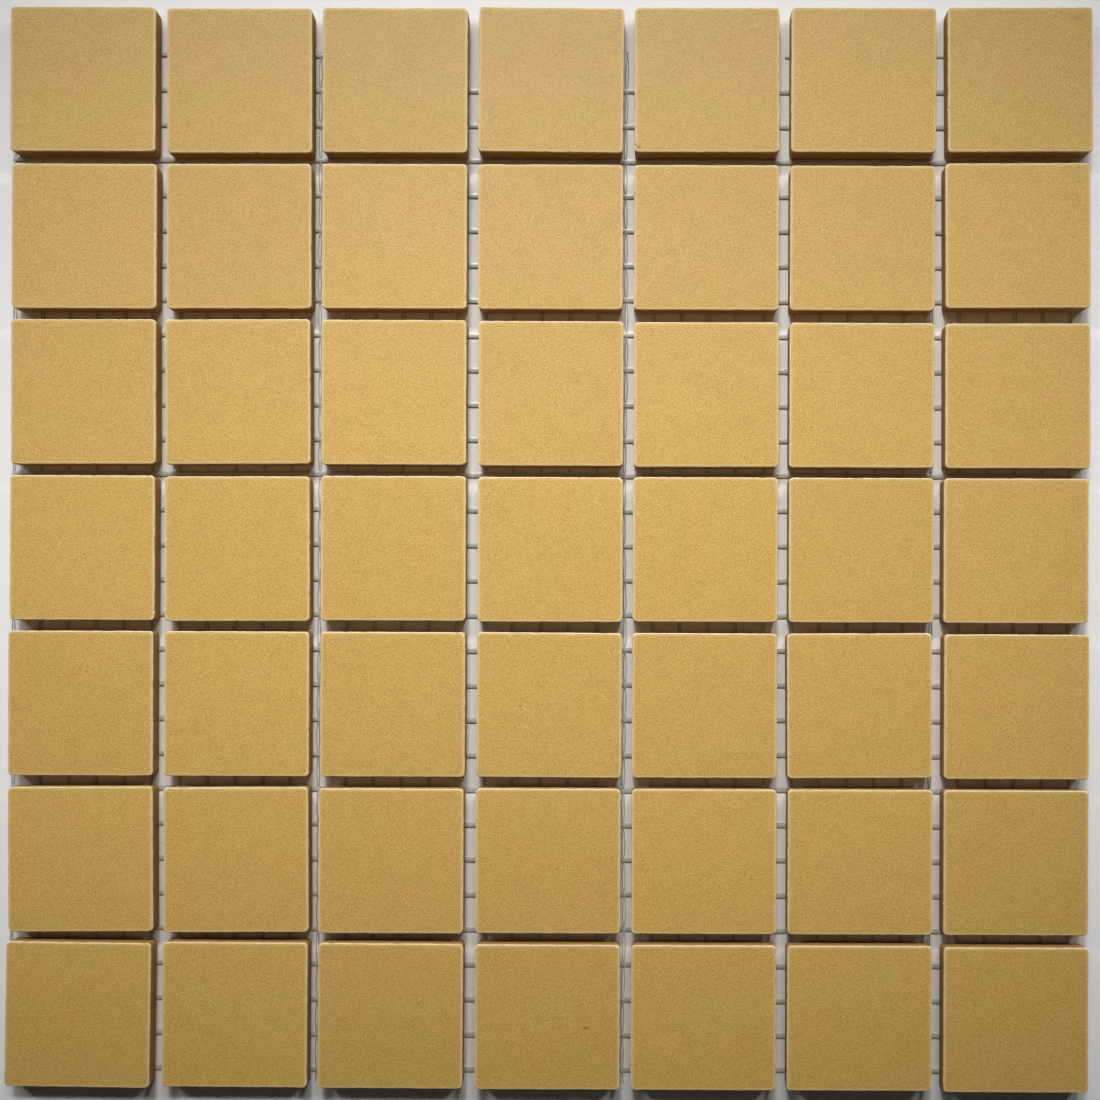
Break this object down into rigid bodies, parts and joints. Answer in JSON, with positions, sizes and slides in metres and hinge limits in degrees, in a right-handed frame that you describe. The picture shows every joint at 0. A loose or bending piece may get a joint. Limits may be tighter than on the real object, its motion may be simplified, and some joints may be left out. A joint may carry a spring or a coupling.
{
  "type": "mosaic tile sheet",
  "caption": "Sheet of square unglazed ceramic mosaic tiles, ochre tan, held at an even joint by a coated glass-fibre mesh on their backs, for bedding on a floor or wall.",
  "frame": {"origin": "the middle of the sheet's outline, on the underside of the backing mesh", "axes": "+Z out of the tile faces, +X along a row to the right, +Y up the sheet towards row 1"},
  "size_m": [0.3074, 0.3064, 0.0056],
  "materials": {
    "tile": "unglazed, matt, fine-grained, with small dark pits and pale specks",
    "mesh": "white resin-coated glass-fibre strands"
  },
  "bodies": {
    "root": {"tile_r1_c1": "tile", "tile_r1_c2": "tile", "tile_r1_c3": "tile", "tile_r1_c4": "tile", "tile_r1_c5": "tile", "tile_r1_c6": "tile", "tile_r1_c7": "tile", "tile_r2_c1": "tile", "tile_r2_c2": "tile", "tile_r2_c3": "tile", "tile_r2_c4": "tile", "tile_r2_c5": "tile", "tile_r2_c6": "tile", "tile_r2_c7": "tile", "tile_r3_c1": "tile", "tile_r3_c2": "tile", "tile_r3_c3": "tile", "tile_r3_c4": "tile", "tile_r3_c5": "tile", "tile_r3_c6": "tile", "tile_r3_c7": "tile", "tile_r4_c1": "tile", "tile_r4_c2": "tile", "tile_r4_c3": "tile", "tile_r4_c4": "tile", "tile_r4_c5": "tile", "tile_r4_c6": "tile", "tile_r4_c7": "tile", "tile_r5_c1": "tile", "tile_r5_c2": "tile", "tile_r5_c3": "tile", "tile_r5_c4": "tile", "tile_r5_c5": "tile", "tile_r5_c6": "tile", "tile_r5_c7": "tile", "tile_r6_c1": "tile", "tile_r6_c2": "tile", "tile_r6_c3": "tile", "tile_r6_c4": "tile", "tile_r6_c5": "tile", "tile_r6_c6": "tile", "tile_r6_c7": "tile", "tile_r7_c1": "tile", "tile_r7_c2": "tile", "tile_r7_c3": "tile", "tile_r7_c4": "tile", "tile_r7_c5": "tile", "tile_r7_c6": "tile", "tile_r7_c7": "tile", "backing_mesh_1": "mesh", "backing_mesh_2": "mesh", "backing_mesh_3": "mesh", "backing_mesh_4": "mesh", "backing_mesh_5": "mesh", "backing_mesh_6": "mesh"}
  },
  "joints": []
}
